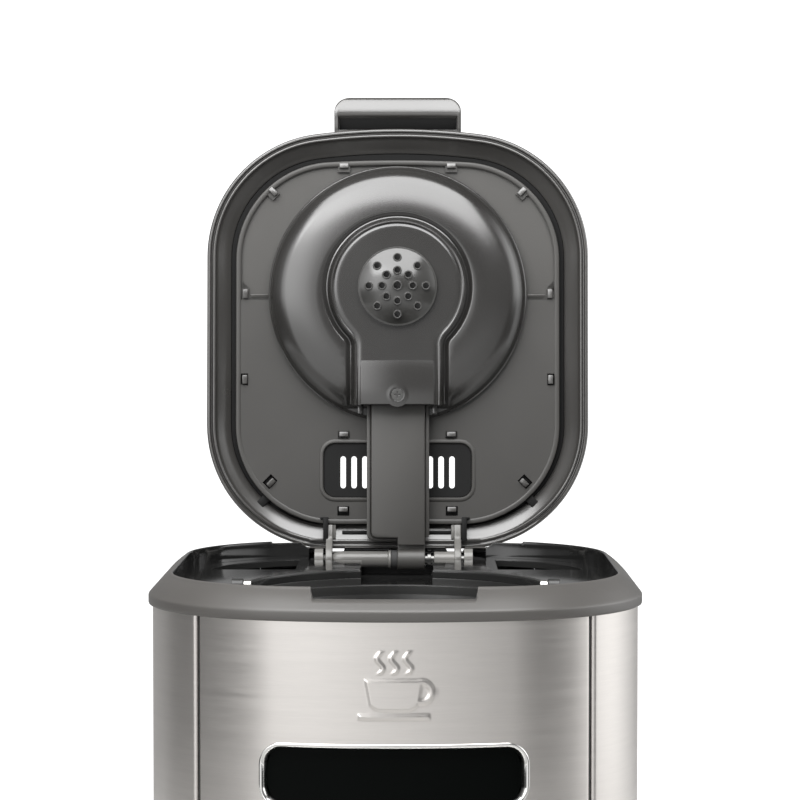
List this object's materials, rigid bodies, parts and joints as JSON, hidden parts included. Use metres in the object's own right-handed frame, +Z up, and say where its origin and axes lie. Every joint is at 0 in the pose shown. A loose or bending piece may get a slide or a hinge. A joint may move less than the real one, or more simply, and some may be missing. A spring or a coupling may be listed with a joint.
{
  "type": "drip coffee maker",
  "caption": "Upright drip coffee maker in brushed steel: its lid and spray arm hinge back over a filter basket, and an insulated carafe slides out of the bay below.",
  "frame": {"origin": "on the table under the middle of the steel body, in the plane of the feet", "axes": "+Z up; the front with the window and the bay faces -Y; +X to the right of someone facing the front"},
  "size_m": [0.2036, 0.2542, 0.552],
  "materials": {
    "steel": "fine brushed grain",
    "charcoal_satin": "satin moulded plastic, dark grey",
    "black_plastic": "satin black plastic",
    "black_gloss": "gloss black window",
    "grey_gloss": "gloss moulded plastic, light grey",
    "rubber": "matte rubber",
    "bright_metal": "polished metal",
    "clear_plastic": "clear moulded plastic",
    "board": "circuit board laminate",
    "white_plastic": "white moulded plastic"
  },
  "bodies": {
    "machine": {"plinth_tray": "black_plastic", "rubber_feet": "rubber", "base_screws": "steel", "base_housing": "black_plastic", "base_front_panel": "steel", "carafe_pad": "black_gloss", "bay_liner": "black_plastic", "side_panel_left": "steel", "side_panel_right": "steel", "front_panel": "steel", "window_bezel": "bright_metal", "display_glass": "black_gloss", "display_module": "black_plastic", "control_board": "board", "head_frame": "black_plastic", "head_floor": "black_plastic", "brew_well": "black_plastic", "brew_deck": "charcoal_satin", "top_collar": "charcoal_satin", "rear_cover": "black_plastic", "level_window": "clear_plastic", "water_tank": "clear_plastic", "check_valve": "white_plastic", "cold_hose": "rubber", "boiler_tube": "steel", "boiler_clamps": "steel", "thermostats": "steel", "power_board": "board", "cable_gland": "black_plastic", "riser_pipe": "white_plastic", "hinge_barrel": "grey_gloss", "hinge_brackets": "grey_gloss", "hinge_pin": "bright_metal", "valve_spring": "bright_metal"},
    "lid": {"lid_shell": "charcoal_satin", "lid_inner_panel": "charcoal_satin", "lid_vent_grille": "charcoal_satin", "lid_hinge_arms": "grey_gloss"},
    "spray_arm": {"arm_channel": "charcoal_satin", "arm_cover": "charcoal_satin", "spray_disc": "charcoal_satin", "spray_head": "grey_gloss", "arm_screw": "bright_metal", "arm_seal": "rubber"},
    "basket": {"filter_basket": "black_plastic"},
    "basket_bail": {"basket_handle": "bright_metal"},
    "drip_stop": {"drip_valve": "rubber"},
    "carafe": {"carafe_shell": "steel", "carafe_liner": "steel", "carafe_base_ring": "black_plastic", "carafe_neck_ring": "black_plastic", "carafe_handle": "black_plastic"},
    "carafe_top": {"carafe_lid": "black_plastic", "lever_pin": "bright_metal"},
    "pour_button": {"pour_lever": "black_plastic"},
    "power_key": {"button_power": "steel"},
    "strength_key": {"button_strength": "steel"},
    "timer_key": {"button_timer": "steel"},
    "start_key": {"button_start": "steel"}
  },
  "joints": [
    {"name": "lid_hinge", "type": "hinge", "parent": "machine", "child": "lid", "pos_m": [0, 0.1036, 0.336], "axis": [-1, 0, 0], "range_deg": [-94, 0]},
    {"name": "arm_hinge", "type": "hinge", "parent": "machine", "child": "spray_arm", "pos_m": [0, 0.1036, 0.336], "axis": [-1, 0, 0], "range_deg": [-94, 0]},
    {"name": "basket_lift", "type": "slide", "parent": "machine", "child": "basket", "axis": [0, 0, 1], "range_m": [0, 0.13]},
    {"name": "bail_hinge", "type": "hinge", "parent": "basket", "child": "basket_bail", "pos_m": [0, -0.0214, 0.337], "axis": [-1, 0, 0], "range_deg": [0, 90]},
    {"name": "drip_stop_slide", "type": "slide", "parent": "basket", "child": "drip_stop", "axis": [0, 0, -1], "range_m": [0, 0.004]},
    {"name": "carafe_slide", "type": "slide", "parent": "machine", "child": "carafe", "axis": [0, -1, 0], "range_m": [0, 0.24]},
    {"name": "carafe_lid_twist", "type": "hinge", "parent": "carafe", "child": "carafe_top", "pos_m": [0, -0.0214, 0.21], "axis": [0, 0, 1], "range_deg": [0, 45]},
    {"name": "pour_lever_hinge", "type": "hinge", "parent": "carafe_top", "child": "pour_button", "pos_m": [0, -0.0574, 0.212], "axis": [1, 0, 0], "range_deg": [0, 7], "stiffness_Nm_per_rad": 0.4, "springref_deg": -2.86},
    {"name": "power_press", "type": "slide", "parent": "machine", "child": "power_key", "axis": [0, 1, 0], "range_m": [0, 0.0012], "stiffness_N_per_m": 600, "springref_m": -0.0003},
    {"name": "strength_press", "type": "slide", "parent": "machine", "child": "strength_key", "axis": [0, 1, 0], "range_m": [0, 0.0012], "stiffness_N_per_m": 600, "springref_m": -0.0003},
    {"name": "timer_press", "type": "slide", "parent": "machine", "child": "timer_key", "axis": [0, 1, 0], "range_m": [0, 0.0012], "stiffness_N_per_m": 600, "springref_m": -0.0003},
    {"name": "start_press", "type": "slide", "parent": "machine", "child": "start_key", "axis": [0, 1, 0], "range_m": [0, 0.0012], "stiffness_N_per_m": 600, "springref_m": -0.0003}
  ],
  "couplings": [
    {"joint": "arm_hinge", "follows": "lid_hinge", "ratio": 1},
    {"joint": "drip_stop_slide", "follows": "carafe_slide", "ratio": 0.0166}
  ]
}
